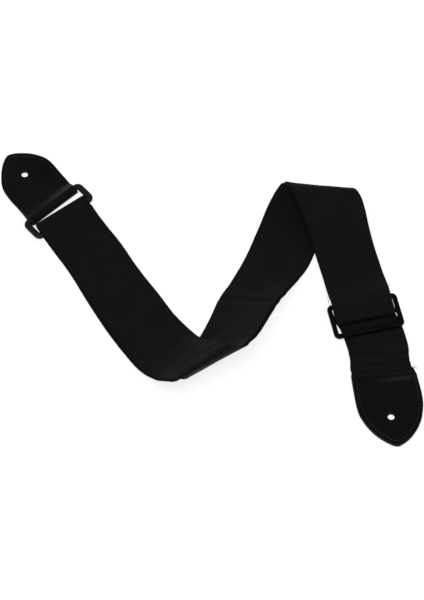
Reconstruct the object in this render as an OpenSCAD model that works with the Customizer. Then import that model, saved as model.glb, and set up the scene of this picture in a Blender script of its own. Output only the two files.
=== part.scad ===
/* [Webbing] */
// Width of the webbing
web_w = 50; // [48:0.5:51]
// Thickness of the webbing
web_t = 1.2; // [0.9:0.1:1.2]
// Gap between the two layers where they lie together
web_gap = 0.3; // [0.2:0.05:0.5]

/* [Ring] */
// Outer length of the rectangular ring, across the strap
ring_len = 63; // [61:0.5:64]
// Distance between the centre lines of the two long bars
ring_pitch = 17.5; // [15.5:0.25:18]
// Diameter of the ring's round bar
ring_bar_d = 4.6; // [4:0.1:4.6]

/* [Slider] */
// Outer size of the slide adjuster across the strap
slider_w = 60; // [60:0.5:64]
// Outer size of the slide adjuster along the strap
slider_l = 32; // [31:0.25:33]
// Thickness of the slide adjuster's frame
slider_t = 3.6; // [3:0.1:3.6]
// Diameter of the slide adjuster's centre bar
slider_bar_d = 3.4; // [3:0.1:3.4]

/* [Leather tabs] */
// Thickness of one leather ply
leather_t = 1.5; // [1.2:0.1:1.5]
// Diameter of the strap button holes
hole_d = 5.75; // [5:0.25:8]
// Length of the slit that lets the hole open over a strap button
slit_l = 5.5; // [4:0.5:7]
// Width of the slit
slit_w = 0.4; // [0.4:0.1:1.2]

/* [Stitching] */
// Distance from one stitch to the next
stitch_pitch = 3.8; // [3:0.1:5]
// Distance from the leather's edge to the line of stitches
stitch_inset = 3.3; // [2.5:0.1:4]
// Thickness of the sewing thread
thread_d = 0.6; // [0.4:0.1:0.8]

/* [Hidden] */
$fn = 40;

// Moves the whole strap so that the origin is at the bottom centre of its box
shift = [4, -3.5, 0];

// How the strap lies: at each step from the ring to the slide adjuster, a point on each
// edge of the doubled webbing. The left band runs to the lower right, rolls under itself,
// the middle band runs to the upper right and rolls back over itself towards the adjuster.
lay = [
    [[-144, 63, 4.2], [-106, 95, 4.2]],
    [[-134, 48, 2.4], [-96, 80, 2.4]],
    [[-118, 25, 1.4], [-78, 54, 1.4]],
    [[-102, -3, 1.4], [-62, 27, 2.2]],
    [[-87, -28, 1.4], [-45.3, 2.6, 3]],
    [[-73, -49, 1.7], [-32, -17.2, 4]],
    [[-59, -68, 4], [-19, -34, 8.5]],
    [[-47.5, -79, 10], [-9, -47, 17]],
    [[-39, -85.2, 18], [-0.5, -55, 26]],
    [[-32, -89.5, 24.5], [8, -60.5, 33.5]],
    [[-26.5, -89.3, 26], [15, -64, 37.5]],
    [[-23, -85, 19.5], [21, -64, 36]],
    [[-21, -77.5, 10.5], [26, -61, 31]],
    [[-20, -67, 4.2], [30, -54, 26.5]],
    [[-17, -54.5, 1.9], [36.5, -45.5, 23]],
    [[-11.5, -42, 1.5], [42, -35, 21]],
    [[-5.2, -29.5, 1.4], [48, -23, 19.5]],
    [[1, -15.5, 1.4], [54.2, -11, 17]],
    [[7, -0.5, 1.5], [61.5, 1, 12.5]],
    [[17.5, 17, 1.5], [71, 16, 6.5]],
    [[28.5, 39, 1.4], [81, 33.5, 2.2]],
    [[39, 65.5, 2], [90, 56.5, 1.4]],
    [[48, 88, 6], [99, 75, 1.6]],
    [[55, 100, 12], [106, 88.5, 3]],
    [[60, 103, 19.5], [112, 97.5, 8]],
    [[64.5, 98.5, 24.5], [116.4, 99.6, 14.5]],
    [[69, 91, 24.5], [121.2, 96, 19]],
    [[73.5, 81.5, 20.5], [125.4, 88.5, 19]],
    [[78, 70.5, 15.5], [128.8, 78, 14.5]],
    [[82.5, 57, 10], [132, 64, 9.5]],
    [[87.5, 39.5, 4.6], [136.5, 47.5, 4.4]],
    [[93.1, 18.6, 1.9], [141.9, 29.8, 1.9]],
    [[98, -2.3, 1.9], [146.7, 8.9, 1.9]]
];
// How far each layer lies to the side of the pair at each of those steps
sway = [0, 0.4, 1, 1.3, 1.4, 1.2, 1, 0.8, 0.8, 0.8, 0.8, 0.9, 1, 1.1, 1.2, 1.2, 1.2, 1.2, 1.1, 1,
    0.9, 0.8, 0.8, 0.8, 0.8, 0.8, 0.8, 0.7, 0.6, 0.5, 0.3, 0, 0];
// Half the distance between the two layers' middles
pair_h = (web_t + web_gap) / 2;
bar_h = ring_bar_d / 2 + 0.4 + web_t / 2;

ring_at = [-124, 77.9, 4.2];
ring_az = 132;
slider_at = [127.3, -18.1, 0];
slider_az = -77;
slider_z = 4.7;
end_at = [139.2, -68.9, 0];
end_az = -82.5;

// A smooth curve through a list of points
function cr(a, b, c, d, t) = 0.5 * (2 * b + (c - a) * t + (2 * a - 5 * b + 4 * c - d) * t * t + (3 * b - a - 3 * c + d) * t * t * t);
function at(p, u) = let (n = len(p), i = min(max(floor(u), 0), n - 2), t = u - i)
    cr(i > 0 ? p[i - 1] : 2 * p[0] - p[1], p[i], p[i + 1], i < n - 2 ? p[i + 2] : 2 * p[n - 1] - p[n - 2], t);
function smooth(p, k) = [for (i = [0 : (len(p) - 1) * k]) at(p, i / k)];
function ring_smooth(p, k) = let (n = len(p)) [for (i = [0 : n * k - 1]) let (j = floor(i / k), t = i / k - j)
    cr(p[(j + n - 1) % n], p[j], p[(j + 1) % n], p[(j + 2) % n], t)];
function unit(v) = v / norm(v);
function edge_a(u) = at([for (r = lay) r[0]], u);
function edge_b(u) = at([for (r = lay) r[1]], u);
function along(u) = unit(edge_a(u + 0.01) + edge_b(u + 0.01) - edge_a(u - 0.01) - edge_b(u - 0.01));
function across(u) = unit(edge_b(u) - edge_a(u));
function up(u) = unit(cross(along(u), across(u)));
function half_gap(u) = let (f = max(0, 1 - u / 1.5)) pair_h + (bar_h - pair_h) * f * f * (3 - 2 * f);
function step_of(u) = at([for (s = sway) [s, 0]], u)[0];
// One station of a layer: edge, edge, and the direction of its upper face
function station(u, side) = let (w = across(u), c = (edge_a(u) + edge_b(u)) / 2, n = up(u),
        half = norm(edge_b(u) - edge_a(u)) / 2, k = web_w / 50,
        m = c + n * side * half_gap(u) + w * side * step_of(u))
    [m - w * half * k, m + w * half * k, n];
function run(u0, u1, side, k) = let (n = round((u1 - u0) * k)) [for (i = [0 : n]) station(u0 + (u1 - u0) * i / n, side)];

// A closed solid strip through stations, web_t thick
module strip(st) {
    n = len(st);
    pts = [for (s = st) each [s[0] - s[2] * web_t / 2, s[1] - s[2] * web_t / 2, s[1] + s[2] * web_t / 2, s[0] + s[2] * web_t / 2]];
    faces = concat([[0, 1, 2], [0, 2, 3]],
        [for (i = [0 : n - 2], e = [0 : 3]) let (p = 4 * i + e, q = 4 * i + (e + 1) % 4) each [[p, p + 4, q + 4], [p, q + 4, q]]],
        [let (m = 4 * (n - 1)) each [[m + 2, m + 1, m], [m + 3, m + 2, m]]]);
    translate(shift) polyhedron(points = pts, faces = faces);
}

// The outline of a sheet of thickness t along a path in a plane
function normal_at(p, i) = let (d = unit(p[min(i + 1, len(p) - 1)] - p[max(i - 1, 0)])) [-d[1], d[0]];
function sheet_outline(p, t) = concat([for (i = [0 : len(p) - 1]) p[i] + normal_at(p, i) * t / 2],
    [for (i = [len(p) - 1 : -1 : 0]) p[i] - normal_at(p, i) * t / 2]);
module sheet(p, t, w) {
    rotate([90, 0, 0]) linear_extrude(w, center = true) polygon(sheet_outline(p, t));
}

module in_ring() { translate(shift + [ring_at[0], ring_at[1], 0]) rotate([0, 0, ring_az]) children(); }
module in_slider() { translate(shift + slider_at) rotate([0, 0, slider_az]) children(); }
module in_end() { translate(shift + end_at) rotate([0, 0, end_az]) children(); }

// Stitches
function lengths(p, i = 1, acc = [0]) = i >= len(p) ? acc : lengths(p, i + 1, concat(acc, [acc[i - 1] + norm(p[i] - p[i - 1])]));
function inset(p, d) = [for (i = [0 : len(p) - 1]) p[i] - normal_at(p, i) * d];
function spaced(p, pitch) = let (s = lengths(p), n = floor(s[len(s) - 1] / pitch),
        tx = [for (i = [0 : len(p) - 1]) [s[i], p[i][0]]], ty = [for (i = [0 : len(p) - 1]) [s[i], p[i][1]]])
    [for (i = [0 : n]) [lookup(i * s[len(s) - 1] / n, tx), lookup(i * s[len(s) - 1] / n, ty)]];
// One stitch seen from its side: a bar on each face joined through the plies at one end
module stitch(a, b, z0, z1) {
    d = b - a;
    l = norm(d) * 0.72;
    h = thread_d;
    translate([a[0], a[1], 0]) rotate([0, 0, atan2(d[1], d[0])]) rotate([90, 0, 0])
        linear_extrude(h, center = true)
            polygon([[0.1, z0 - h * 0.35], [l - 0.2, z0 - h * 0.35], [l, z0], [l - 0.2, z0 + h * 0.4], [h, z0 + h * 0.4],
                [h, z1 - h * 0.4], [l - 0.2, z1 - h * 0.4], [l, z1], [l - 0.3, z1 + h * 0.45], [0.3, z1 + h * 0.45], [0, z1]]);
}
module seam(p, z0, z1) {
    for (i = [0 : len(p) - 2]) stitch(p[i], p[i + 1], z0, z1);
}

// Ring tab, in the ring's frame: x runs from the near bar to the tab's tip
ring_tab_left = [[0, 24.7], [9, 23.7], [17.4, 22.9], [29.7, 22.3], [39.3, 20.6], [45.7, 17.8], [52.6, 12.4], [58.4, 6.5], [62.3, 0.8]];
ring_tab_right = [[61.8, -10.3], [56.7, -16.6], [51.5, -21.3], [44.8, -25.3], [39.3, -27.3], [33, -27.8], [23, -27], [12, -26], [5, -25], [0, -24.7]];
ring_tab_line = smooth(concat(ring_tab_left, [[64.2, -4.5]], ring_tab_right), 3);
ring_tab_hole = [39.9, -3.1];
far = ring_pitch;
loop_r = ring_bar_d / 2 + 0.4 + leather_t / 2;
loop_z = ring_at[2];
low_z = loop_z - loop_r;
high_z = low_z + leather_t + 0.1;
fold_path = concat([[66, low_z], [30, low_z], [12, low_z], [4, low_z]],
    [for (a = [-90 : -15 : -270]) [-1 + loop_r * cos(a), loop_z + loop_r * sin(a)]],
    smooth([[3, loop_z + loop_r - 0.25], [7, loop_z + loop_r - 1.6], [11, high_z + 1.6], [15, high_z + 0.35], [19, high_z]], 2),
    [[30, high_z], [66, high_z]]);

module tab_shape(line, x0, x1) {
    polygon(concat([[x0, line[0][1]]], line, [[x0, line[len(line) - 1][1]]]));
}
module button_hole(c, az) {
    translate([c[0], c[1], -2]) cylinder(d = hole_d, h = 14);
    translate([c[0], c[1], -2]) rotate([0, 0, az]) translate([0, -slit_w / 2, 0]) cube([hole_d / 2 + slit_l, slit_w, 14]);
}

module ring() {
    color([0.09, 0.09, 0.11]) in_ring() translate([0, 0, ring_at[2]]) {
        r = 3.5;
        y = (ring_len - ring_bar_d) / 2;
        for (x = [0, ring_pitch]) translate([x, 0, 0]) rotate([90, 0, 0]) cylinder(d = ring_bar_d, h = 2 * (y - r), center = true);
        for (s = [-1, 1]) translate([ring_pitch / 2, s * y, 0]) rotate([0, 90, 0]) cylinder(d = ring_bar_d, h = ring_pitch - 2 * r, center = true);
        for (q = [[r, -y + r, 180], [r, y - r, 90], [ring_pitch - r, y - r, 0], [ring_pitch - r, -y + r, 270]])
            translate([q[0], q[1], 0]) rotate([0, 0, q[2]]) rotate_extrude(angle = 90) translate([r, 0]) circle(d = ring_bar_d);
    }
}
module ring_tab_leather() {
    color([0.06, 0.055, 0.055]) in_ring() translate([far, 0, 0]) difference() {
        intersection() {
            sheet(fold_path, leather_t, 80);
            translate([0, 0, -1]) linear_extrude(20) tab_shape(ring_tab_line, -8, 70);
        }
        button_hole(ring_tab_hole, 180);
    }
}
ring_seam = [for (p = inset(ring_tab_line, stitch_inset)) if (p[0] > 20) p];
module ring_tab_edge_stitches() {
    color([0.1, 0.1, 0.1]) in_ring() translate([far, 0, 0]) seam(spaced(ring_seam, stitch_pitch), low_z - leather_t / 2 + 0.25, high_z + leather_t / 2);
}
module ring_tab_cross_stitches() {
    color([0.1, 0.1, 0.1]) in_ring() translate([far, 0, 0])
        seam(spaced([[19.6, 17], [19.6, -21]], stitch_pitch), low_z - leather_t / 2 + 0.25, high_z + leather_t / 2);
}

// Paths of the layers through the slide adjuster: x runs towards the end tab, y is the height
// The threaded layer goes over the upper outer bar, down through the slot and under the centre bar
// and the lower outer bar, where it lies a little to one side: each point is x, y, height
m_path = [[-43.4, 0, 1.15], [-36, 0, 1.1], [-30, 0, 1.6], [-24, 0, 3.7], [-19, 0, 6.4], [-16, 0, 7.4], [-13.2, 0, 7.5], [-10.6, 0, 7.2],
    [-8, 0, 5.2], [-5.4, 0, 2.1], [-3, 0.2, 0.85], [0, 0.5, 0.65], [3, 0.9, 0.8], [6.5, 1.2, 1.2], [10, 1.8, 1.7], [13.5, 2.4, 1.95],
    [17, 2.8, 1.95], [22, 3, 1.9], [27, 3, 2.1], [33, 2.7, 2.3], [38, 2, 2.35], [43, 0.8, 2.2], [48, 0, 2.2]];
loop_path = concat(
    smooth([[-33, 2.8], [-29, 3.4], [-24, 5.25], [-19, 8], [-16, 8.9], [-13.2, 9], [-10, 8.7], [-7.2, 6.9], [-4.9, 4.2], [-2.8, 2.65]], 2),
    [for (a = [-90 : 18 : 90]) [2.5 * cos(a), slider_z + 2.5 * sin(a)]],
    smooth([[-3, 7.75], [-6, 8.8], [-9, 10.05], [-11.5, 10.5], [-16, 10.4], [-19, 9.5], [-24, 6.8], [-29, 4.9], [-33, 4.3]], 2));
slack_path = [[-43.3, 2.65], [-40, 2.85], [-37, 3.35], [-33.4, 4.25]];

module slide_adjuster() {
    color([0.07, 0.07, 0.08]) in_slider() {
        translate([0, 0, slider_z - slider_t / 2]) linear_extrude(slider_t) difference() {
            union() {
                square([slider_l - 8, slider_w], center = true);
                square([slider_l, slider_w - 8], center = true);
                for (x = [-1, 1], y = [-1, 1]) translate([x * (slider_l / 2 - 4), y * (slider_w / 2 - 4)]) circle(4);
            }
            square([slider_l - 8, 51.4], center = true);
        }
        translate([0, 0, slider_z]) rotate([90, 0, 0]) cylinder(d = slider_bar_d, h = 53, center = true);
    }
}
function from_slider(p) = [slider_at[0] + p[0] * cos(slider_az) - p[1] * sin(slider_az), slider_at[1] + p[0] * sin(slider_az) + p[1] * cos(slider_az), p[2]];
function turned(p) = from_slider(p) - from_slider([0, 0, 0]);
module webbing_threaded() {
    p = smooth(m_path, 2);
    flat = [for (q = p) [q[0], q[2]]];
    color([0.08, 0.08, 0.085]) strip([for (i = [0 : len(p) - 1]) let (n = normal_at(flat, i))
        [from_slider(p[i] - [0, web_w / 2, 0]), from_slider(p[i] + [0, web_w / 2, 0]), turned([n[0], 0, n[1]])]]);
}
module webbing_slider_loop() { color([0.08, 0.08, 0.085]) in_slider() sheet(loop_path, web_t, web_w); }
module webbing_upper_end() { color([0.08, 0.08, 0.085]) in_slider() sheet(smooth(slack_path, 2), web_t, web_w); }
// Sewn through the loop and its tail just above the adjuster, clear of the layer that slides beneath
module loop_seam_stitches() {
    color([0.1, 0.1, 0.1]) in_slider() translate([-21.4, 0, 7.4]) rotate([0, -29, 0])
        seam(spaced([[0, 23], [0, -23]], 3), -1, 1.25);
}

module webbing_ring_loop() {
    s = station(0, 1);
    m = station(0, -1);
    t = along(0);
    n = up(0);
    c = [(s[0] + m[0]) / 2, (s[1] + m[1]) / 2];
    // The loop is slack at one edge, where it nearly reaches the leather
    e = [5.4, 2.2];
    color([0.08, 0.08, 0.085]) strip(concat([[m[0], m[1], -n]],
        [for (a = [-90 : 12 : 90]) let (o = [for (k = [0, 1]) -t * (e[k] + bar_h * cos(a)) + n * bar_h * sin(a)])
            [c[0] + o[0], c[1] + o[1], unit(-t * cos(a) + n * sin(a))]],
        [[s[0], s[1], n]]));
}
module webbing_lower_left() { color([0.08, 0.08, 0.085]) strip(run(0, 6, -1, 3)); }
module webbing_lower_bend() { color([0.08, 0.08, 0.085]) strip(run(6, 15, -1, 3)); }
module webbing_lower_middle() { color([0.08, 0.08, 0.085]) strip(run(15, 22, -1, 3)); }
module webbing_lower_top_fold() { color([0.08, 0.08, 0.085]) strip(run(22, 28, -1, 4)); }
module webbing_lower_right() { color([0.08, 0.08, 0.085]) strip(run(28, 31, -1, 4)); }
module webbing_upper_left() { color([0.08, 0.08, 0.085]) strip(run(0, 6, 1, 3)); }
module webbing_upper_bend() { color([0.08, 0.08, 0.085]) strip(run(6, 15, 1, 3)); }
module webbing_upper_middle() { color([0.08, 0.08, 0.085]) strip(run(15, 22, 1, 3)); }
module webbing_upper_top_fold() { color([0.08, 0.08, 0.085]) strip(run(22, 28, 1, 4)); }
module webbing_upper_right() { color([0.08, 0.08, 0.085]) strip(run(28, 31, 1, 4)); }

// End tab: x runs from the webbing to the tip; the webbing flexes along a line just before the leather
flex_x = -3.7;
flex_s = web_w / 2 * tan(slider_az - end_az);
end_left = [[0.2, -25.6], [11, -25.8], [26, -25.7], [35.3, -24.9], [42, -22.9], [49.5, -19.4], [56.4, -14.8], [62.8, -8.6], [67.4, -2.5]];
end_right = [[68.1, 6], [63.7, 13], [56.8, 19.5], [50.2, 23.7], [44.2, 26.3], [34, 28.7], [25, 29.1], [17, 28.6], [8.7, 27.8], [0.2, 26]];
end_line = smooth(concat(end_left, [[69.2, 1.9]], end_right), 3);
end_hole = [42.5, 0.8];
end_seam = [for (p = inset([for (i = [len(end_line) - 1 : -1 : 0]) end_line[i]], stitch_inset)) if (p[0] > 3.2) p];
front_path = concat([[0.2, 3.7], [14, 3.7]], smooth([[15.5, 3.65], [18, 3.2], [21, 2.55], [24, 2.35]], 2), [[40, 2.35], [72, 2.35]]);
module webbing_end_tongue() {
    color([0.08, 0.08, 0.085]) in_end() translate([0, 0, 2.2 - web_t / 2]) linear_extrude(web_t)
        polygon([[flex_x + flex_s, -web_w / 2], [15, -web_w / 2], [15, web_w / 2], [flex_x - flex_s, web_w / 2]]);
}
module end_tab_front_ply() {
    color([0.06, 0.055, 0.055]) in_end() difference() {
        intersection() {
            sheet(front_path, leather_t, 80);
            translate([0, 0, -1]) linear_extrude(20) polygon(end_line);
        }
        button_hole(end_hole, 180);
    }
}
module end_tab_back_ply() {
    color([0.06, 0.055, 0.055]) in_end() difference() {
        linear_extrude(leather_t) polygon(end_line);
        button_hole(end_hole, 180);
    }
}
module end_tab_edge_stitches() {
    p = spaced(end_seam, stitch_pitch);
    color([0.1, 0.1, 0.1]) in_end() for (i = [0 : len(p) - 2])
        let (x = (p[i][0] + p[i + 1][0]) / 2, z = x < 15 ? 3.7 : x < 23 ? 3.7 - 1.35 * (x - 15) / 8 : 2.35) stitch(p[i], p[i + 1], 0.25, z + leather_t / 2);
}
module end_tab_cross_stitches() {
    color([0.1, 0.1, 0.1]) in_end() seam(spaced([[3.2, -21.5], [3.2, 22]], stitch_pitch), 0.25, 3.7 + leather_t / 2);
}

webbing_lower_left();
webbing_lower_bend();
webbing_lower_middle();
webbing_lower_top_fold();
webbing_lower_right();
webbing_threaded();
webbing_upper_left();
webbing_upper_bend();
webbing_upper_middle();
webbing_upper_top_fold();
webbing_upper_right();
webbing_upper_end();
webbing_ring_loop();
ring();
ring_tab_leather();
ring_tab_edge_stitches();
ring_tab_cross_stitches();
slide_adjuster();
webbing_slider_loop();
loop_seam_stitches();
webbing_end_tongue();
end_tab_front_ply();
end_tab_back_ply();
end_tab_edge_stitches();
end_tab_cross_stitches();
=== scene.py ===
import math

import bpy
import numpy as np
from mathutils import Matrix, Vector
from mathutils.geometry import delaunay_2d_cdt


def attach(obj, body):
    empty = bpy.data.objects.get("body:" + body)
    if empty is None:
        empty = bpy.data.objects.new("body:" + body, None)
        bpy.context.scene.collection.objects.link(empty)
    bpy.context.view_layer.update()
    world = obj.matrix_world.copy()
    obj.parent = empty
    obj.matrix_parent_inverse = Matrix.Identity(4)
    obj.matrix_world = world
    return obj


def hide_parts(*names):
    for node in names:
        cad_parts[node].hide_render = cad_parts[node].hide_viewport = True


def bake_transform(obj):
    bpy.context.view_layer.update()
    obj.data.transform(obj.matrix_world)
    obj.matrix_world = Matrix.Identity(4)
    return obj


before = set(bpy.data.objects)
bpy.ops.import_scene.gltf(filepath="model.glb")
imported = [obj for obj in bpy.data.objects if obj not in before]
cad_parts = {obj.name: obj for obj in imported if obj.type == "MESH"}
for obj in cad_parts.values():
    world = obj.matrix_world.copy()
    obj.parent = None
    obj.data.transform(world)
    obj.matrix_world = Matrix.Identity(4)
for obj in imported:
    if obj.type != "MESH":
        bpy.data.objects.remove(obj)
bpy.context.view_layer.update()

# ------------------------------------------------------------------ dimensions, in millimetres, as in the CAD
SHIFT = np.array([4.0, -3.5, 0.0])
WEB_W, WEB_T, WEB_GAP = 50.0, 1.15, 0.35
RING_LEN, RING_PITCH, RING_BAR = 63.0, 17.5, 4.6
SLIDER_W, SLIDER_L, SLIDER_T, SLIDER_BAR = 60.0, 32.0, 3.6, 3.4
LEATHER_T, HOLE_D, SLIT_L, SLIT_W = 1.5, 5.75, 5.5, 0.26
PITCH, INSET, THREAD = 3.8, 3.3, 0.6
LAY = np.array([
    [[-144, 63, 4.2], [-106, 95, 4.2]], [[-134, 48, 2.4], [-96, 80, 2.4]], [[-118, 25, 1.4], [-78, 54, 1.4]],
    [[-102, -3, 1.4], [-62, 27, 2.2]], [[-87, -28, 1.4], [-45.3, 2.6, 3]], [[-73, -49, 1.7], [-32, -17.2, 4]],
    [[-59, -68, 4], [-19, -34, 8.5]], [[-47.5, -79, 10], [-9, -47, 17]], [[-39, -85.2, 18], [-0.5, -55, 26]],
    [[-32, -89.5, 24.5], [8, -60.5, 33.5]], [[-26.5, -89.3, 26], [15, -64, 37.5]], [[-23, -85, 19.5], [21, -64, 36]],
    [[-21, -77.5, 10.5], [26, -61, 31]], [[-20, -67, 4.2], [30, -54, 26.5]], [[-17, -54.5, 1.9], [36.5, -45.5, 23]],
    [[-11.5, -42, 1.5], [42, -35, 21]], [[-5.2, -29.5, 1.4], [48, -23, 19.5]], [[1, -15.5, 1.4], [54.2, -11, 17]],
    [[7, -0.5, 1.5], [61.5, 1, 12.5]], [[17.5, 17, 1.5], [71, 16, 6.5]], [[28.5, 39, 1.4], [81, 33.5, 2.2]],
    [[39, 65.5, 2], [90, 56.5, 1.4]], [[48, 88, 6], [99, 75, 1.6]], [[55, 100, 12], [106, 88.5, 3]],
    [[60, 103, 19.5], [112, 97.5, 8]], [[64.5, 98.5, 24.5], [116.4, 99.6, 14.5]], [[69, 91, 24.5], [121.2, 96, 19]],
    [[73.5, 81.5, 20.5], [125.4, 88.5, 19]], [[78, 70.5, 15.5], [128.8, 78, 14.5]], [[82.5, 57, 10], [132, 64, 9.5]],
    [[87.5, 39.5, 4.6], [136.5, 47.5, 4.4]], [[93.1, 18.6, 1.9], [141.9, 29.8, 1.9]], [[98, -2.3, 1.9], [146.7, 8.9, 1.9]]])
SWAY = np.array([0, 0.4, 1, 1.3, 1.4, 1.2, 1, 0.8, 0.8, 0.8, 0.8, 0.9, 1, 1.1, 1.2, 1.2, 1.2, 1.2, 1.1, 1,
                 0.9, 0.8, 0.8, 0.8, 0.8, 0.8, 0.8, 0.7, 0.6, 0.5, 0.3, 0, 0], float)
PAIR_H = (1.2 + 0.3) / 2
BAR_H = RING_BAR / 2 + 0.4 + 0.6
RING_AT, RING_AZ = np.array([-124.0, 77.9, 4.2]), math.radians(132)
SLIDER_AT, SLIDER_AZ, SLIDER_Z = np.array([127.3, -18.1, 0.0]), math.radians(-77), 4.7
END_AT, END_AZ = np.array([139.2, -68.9, 0.0]), math.radians(-82.5)
M_PATH = [[-43.4, 0, 1.15], [-36, 0, 1.1], [-30, 0, 1.6], [-24, 0, 3.7], [-19, 0, 6.4], [-16, 0, 7.4], [-13.2, 0, 7.5],
          [-10.6, 0, 7.2], [-8, 0, 5.2], [-5.4, 0, 2.1], [-3, 0, 0.85], [0, 0.4, 0.65], [3, 1.1, 0.8], [6.5, 1.9, 1.2],
          [10, 2.1, 1.7], [13.5, 2.4, 1.95], [17, 2.8, 1.95], [22, 3, 1.9], [27, 3, 2.1], [33, 2.7, 2.3], [38, 2, 2.35],
          [43, 0.8, 2.2], [48, 0, 2.2]]
LOOP_LOW = [[-33, 2.8], [-29, 3.4], [-24, 5.25], [-19, 8], [-16, 8.9], [-13.2, 9], [-10, 8.7], [-7.2, 6.9], [-4.9, 4.2], [-2.8, 2.65]]
LOOP_HIGH = [[-3, 7.75], [-6, 8.8], [-9, 9.9], [-11.5, 10.45], [-16, 10.35], [-20, 9.5], [-24.5, 7.8], [-29, 6.1], [-33, 4.85]]
SLACK = [[-43.3, 2.65], [-40, 2.95], [-37, 3.6], [-33.4, 4.75]]


# ------------------------------------------------------------------ small helpers
def cr(a, b, c, d, t):
    return 0.5 * (2 * b + (c - a) * t + (2 * a - 5 * b + 4 * c - d) * t * t + (3 * b - a - 3 * c + d) * t ** 3)


def at(p, u):
    n = len(p)
    i = min(max(int(math.floor(u)), 0), n - 2)
    t = u - i
    a = p[i - 1] if i > 0 else 2 * p[0] - p[1]
    d = p[i + 2] if i < n - 2 else 2 * p[n - 1] - p[n - 2]
    return cr(a, p[i], p[i + 1], d, t)


def smooth(p, k):
    p = np.array(p, float)
    return np.array([at(p, i / k) for i in range((len(p) - 1) * k + 1)])


def unit(v):
    return v / np.linalg.norm(v)


def frame_point(origin, az, p):
    p = np.asarray(p, float)
    c, s = math.cos(az), math.sin(az)
    return np.stack([origin[0] + p[..., 0] * c - p[..., 1] * s, origin[1] + p[..., 0] * s + p[..., 1] * c, p[..., 2]], -1)


def in_ring(p):
    return frame_point(RING_AT, RING_AZ, p)


def in_slider(p):
    return frame_point(SLIDER_AT, SLIDER_AZ, p)


def in_end(p):
    return frame_point(END_AT, END_AZ, p)


def tangents(p):
    d = np.empty_like(p)
    d[1:-1] = p[2:] - p[:-2]
    d[0], d[-1] = p[1] - p[0], p[-1] - p[-2]
    return d / np.linalg.norm(d, axis=1)[:, None]


def lengths(p):
    return np.concatenate([[0], np.cumsum(np.linalg.norm(np.diff(p, axis=0), axis=1))])


def step(x):
    x = np.clip(x, 0, 1)
    return x * x * (3 - 2 * x)


def new_object(name, verts, faces, materials, attributes=None, sharp=None, smooth_shade=True):
    """verts in the CAD's working frame in millimetres."""
    me = bpy.data.meshes.new(name)
    me.from_pydata(((np.asarray(verts) + SHIFT) * 0.001).tolist(), [], [list(map(int, f)) for f in faces])
    me.validate()
    for m in materials:
        me.materials.append(m)
    for key, values in (attributes or {}).items():
        values = np.asarray(values, np.float32)
        kind = "FLOAT_VECTOR" if values.ndim == 2 else "FLOAT"
        a = me.attributes.new(key, kind, "POINT")
        a.data.foreach_set("vector" if values.ndim == 2 else "value", values.ravel())
    me.polygons.foreach_set("use_smooth", [smooth_shade] * len(me.polygons))
    if sharp is not None:
        import_edges = np.empty(len(me.edges) * 2, int)
        me.edges.foreach_get("vertices", import_edges)
        e = import_edges.reshape(-1, 2)
        flag = sharp[e[:, 0]] & sharp[e[:, 1]] & (sharp[e[:, 0]] == sharp[e[:, 1]])
        a = me.attributes.new("sharp_edge", "BOOLEAN", "EDGE")
        a.data.foreach_set("value", flag.astype(bool))
    me.update()
    o = bpy.data.objects.new(name, me)
    bpy.context.scene.collection.objects.link(o)
    return o


# ------------------------------------------------------------------ camera, lights, floor
TARGET = Vector((0.004, -0.0035, 0.0))
CAM_E = math.radians(60)
cam_data = bpy.data.cameras.new("camera")
cam = bpy.data.objects.new("camera", cam_data)
bpy.context.scene.collection.objects.link(cam)
cam.location = TARGET + Vector((0, -math.cos(CAM_E), math.sin(CAM_E))) * 2.3
cam.rotation_euler = (math.radians(90) - CAM_E, 0, 0)
cam_data.lens = 165.6
cam_data.sensor_width = 36
cam_data.clip_start, cam_data.clip_end = 0.1, 20
bpy.context.scene.camera = cam


def area_light(name, place, target, size, size_y, power, colour=(1, 1, 1)):
    d = bpy.data.lights.new(name, "AREA")
    d.shape, d.size, d.size_y, d.energy, d.color = "RECTANGLE", size, size_y, power, colour
    o = bpy.data.objects.new(name, d)
    bpy.context.scene.collection.objects.link(o)
    o.location = place
    o.rotation_euler = (Vector(target) - Vector(place)).to_track_quat("-Z", "Y").to_euler()
    return o


area_light("light_top", (-0.1, -0.55, 1.9), (0, 0, 0), 1.5, 1.0, 9)
area_light("light_back", (-0.75, 1.7, 0.42), (0, 0, 0), 1.4, 0.3, 3.2)
area_light("light_right", (1.5, 0.3, 0.7), (0, 0, 0), 0.7, 1.0, 2.5)

world = bpy.data.worlds.new("world")
bpy.context.scene.world = world
world.use_nodes = True
world.node_tree.nodes["Background"].inputs["Color"].default_value = (1, 1, 1, 1)
world.node_tree.nodes["Background"].inputs["Strength"].default_value = 0.2
bpy.context.scene.view_settings.view_transform = "Standard"
bpy.context.scene.view_settings.look = "None"
bpy.context.scene.view_settings.exposure = 0
bpy.context.scene.view_settings.gamma = 1


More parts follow.
